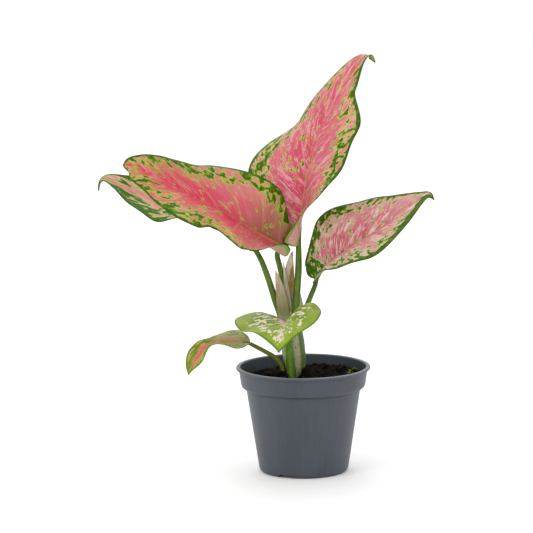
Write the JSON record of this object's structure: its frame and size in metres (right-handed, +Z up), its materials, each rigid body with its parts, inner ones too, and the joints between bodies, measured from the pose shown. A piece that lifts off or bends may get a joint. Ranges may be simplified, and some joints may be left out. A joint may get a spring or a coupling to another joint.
{
  "type": "potted chinese evergreen",
  "caption": "Young leafy houseplant with broad pink and green blades on fleshy stalks, standing in a tapered plastic nursery pot filled with soil.",
  "frame": {"origin": "centre of the pot's flat underside, on the surface it stands on", "axes": "+Z up through the pot's axis, -Y towards the plant's front with the low leaf, +X to its right"},
  "size_m": [0.3001, 0.1675, 0.3689],
  "materials": {
    "pot_plastic": "satin slate-grey moulded plastic",
    "soil": "damp crumbly peat",
    "stalk": "smooth fleshy green stalk",
    "papery_sheath": "dry papery sheath",
    "blade_pink": "satin pink leaf with green flecks and rim",
    "blade_green": "satin green leaf with pale flecks"
  },
  "bodies": {
    "root": {"pot": "pot_plastic", "soil": "soil", "stem": "stalk", "leafstalk_upright": "stalk", "leafstalk_front": "stalk", "leafstalk_back": "stalk", "leafstalk_right": "stalk", "leafstalk_low": "stalk", "leafstalk_small": "stalk", "sheath_back": "papery_sheath", "sheath_front": "papery_sheath", "sheath_upright": "papery_sheath", "sheath_right": "papery_sheath", "blade_upright": "blade_pink", "blade_front": "blade_pink", "blade_back": "blade_pink", "blade_right": "blade_pink", "blade_low": "blade_green", "blade_small": "blade_pink"}
  },
  "joints": []
}
